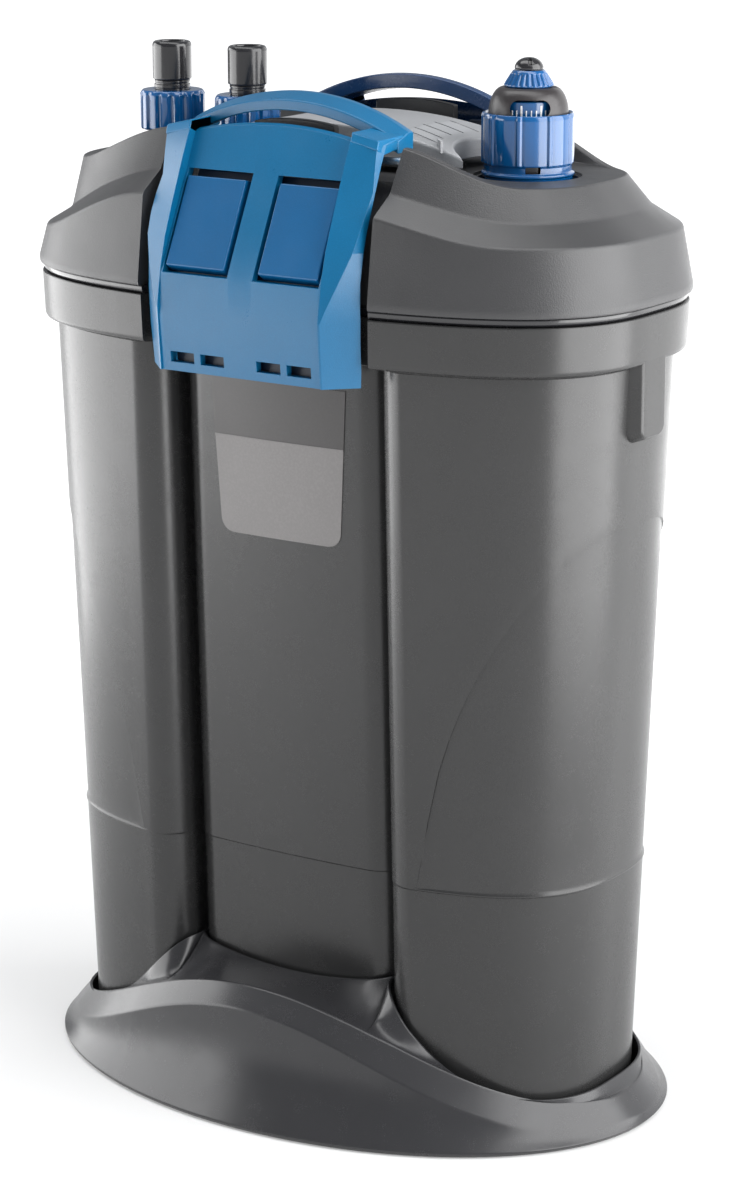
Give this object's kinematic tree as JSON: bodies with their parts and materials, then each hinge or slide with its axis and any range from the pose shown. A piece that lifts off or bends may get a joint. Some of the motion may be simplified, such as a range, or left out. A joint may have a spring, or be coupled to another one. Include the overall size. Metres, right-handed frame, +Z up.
{
  "type": "aquarium canister filter",
  "caption": "External aquarium canister filter with plug-in heater, hand primer, hose tails on union nuts and body latches that carry the lifting hoops.",
  "frame": {"origin": "middle of the underside of the base tray, on the ground", "axes": "+Z up, +X along the long side towards the heater, -Y out of the front face with the label"},
  "size_m": [0.306, 0.212, 0.4647],
  "materials": {
    "lid_grey": "fine eroded texture, satin",
    "body_grey": "satin moulded",
    "base_grey": "smooth satin",
    "latch_blue": "fine texture, satin",
    "latch_pad_blue": "satin",
    "gloss_blue": "polished",
    "button_grey": "satin",
    "gloss_black": "polished",
    "seal_black": "smooth",
    "dome_grey": "satin",
    "label_grey": "printed film",
    "inner_grey": "plain moulded",
    "clear_tube": "clear",
    "ceramic": "unglazed ceramic",
    "steel": "plain",
    "foam_blue": "open-cell filter foam",
    "foam_dark": "open-cell filter foam",
    "fleece_white": "filter fleece",
    "rotor_white": "moulded"
  },
  "bodies": {
    "housing": {"base_tray": "base_grey", "foot_pads": "seal_black", "canister": "body_grey", "label_plate": "label_grey", "rim_gasket": "seal_black", "lid": "lid_grey", "head_base": "inner_grey", "head_screws": "steel", "front_latch_pin": "steel", "rear_latch_pin": "steel", "primer_spring": "steel", "primer_cylinder": "inner_grey", "inlet_spigot": "gloss_black", "outlet_spigot": "gloss_black", "inlet_oring": "seal_black", "outlet_oring": "seal_black", "inlet_tail": "gloss_black", "outlet_tail": "gloss_black", "motor_housing": "inner_grey", "impeller_shaft": "ceramic", "upper_bush": "seal_black", "lower_bush": "seal_black", "volute_cover": "inner_grey", "outlet_duct": "inner_grey", "riser_tube": "inner_grey", "riser_foot": "inner_grey", "tray_low": "inner_grey", "tray_mid": "inner_grey", "tray_top": "inner_grey", "foam_low": "foam_blue", "foam_mid": "foam_dark", "foam_top": "fleece_white", "tray_handle": "gloss_blue", "heater_socket": "gloss_black", "heater_dome": "dome_grey", "heater_cap": "gloss_black", "heater_tube": "clear_tube", "heater_element": "ceramic", "heater_seal": "seal_black"},
    "front_latch": {"front_latch_cover": "latch_blue", "front_latch_core": "latch_pad_blue"},
    "rear_latch": {"rear_latch_cover": "latch_blue", "rear_latch_core": "latch_pad_blue"},
    "primer": {"primer_button": "button_grey", "primer_plunger": "gloss_black"},
    "inlet_nut": {"inlet_nut": "gloss_blue"},
    "outlet_nut": {"outlet_nut": "gloss_blue"},
    "heater_collar": {"heater_collar": "gloss_blue"},
    "thermostat": {"heater_knob": "gloss_blue", "heater_dial": "gloss_blue"},
    "impeller": {"impeller": "rotor_white"}
  },
  "joints": [
    {"name": "front_latch_swing", "type": "hinge", "parent": "housing", "child": "front_latch", "pos_m": [0, -0.055, 0.4245], "axis": [-1, 0, 0], "range_deg": [0, 28]},
    {"name": "rear_latch_swing", "type": "hinge", "parent": "housing", "child": "rear_latch", "pos_m": [0, 0.055, 0.4245], "axis": [1, 0, 0], "range_deg": [0, 28]},
    {"name": "primer_press", "type": "slide", "parent": "housing", "child": "primer", "axis": [0, 0, -1], "range_m": [0, 0.004], "stiffness_N_per_m": 700, "springref_m": -0.003, "deforming": ["primer_spring"]},
    {"name": "inlet_nut_turn", "type": "hinge", "parent": "housing", "child": "inlet_nut", "pos_m": [-0.1002, 0, 0.432], "axis": [0, 0, 1], "continuous": true},
    {"name": "outlet_nut_turn", "type": "hinge", "parent": "housing", "child": "outlet_nut", "pos_m": [-0.0588, 0, 0.432], "axis": [0, 0, 1], "continuous": true},
    {"name": "heater_collar_twist", "type": "hinge", "parent": "housing", "child": "heater_collar", "pos_m": [0.086, 0, 0.43], "axis": [0, 0, 1], "range_deg": [0, 45]},
    {"name": "thermostat_turn", "type": "hinge", "parent": "housing", "child": "thermostat", "pos_m": [0.086, 0, 0.45], "axis": [0, 0, 1], "range_deg": [-135, 135]},
    {"name": "impeller_spin", "type": "hinge", "parent": "housing", "child": "impeller", "pos_m": [0.008, 0, 0.36], "axis": [0, 0, 1], "continuous": true}
  ]
}
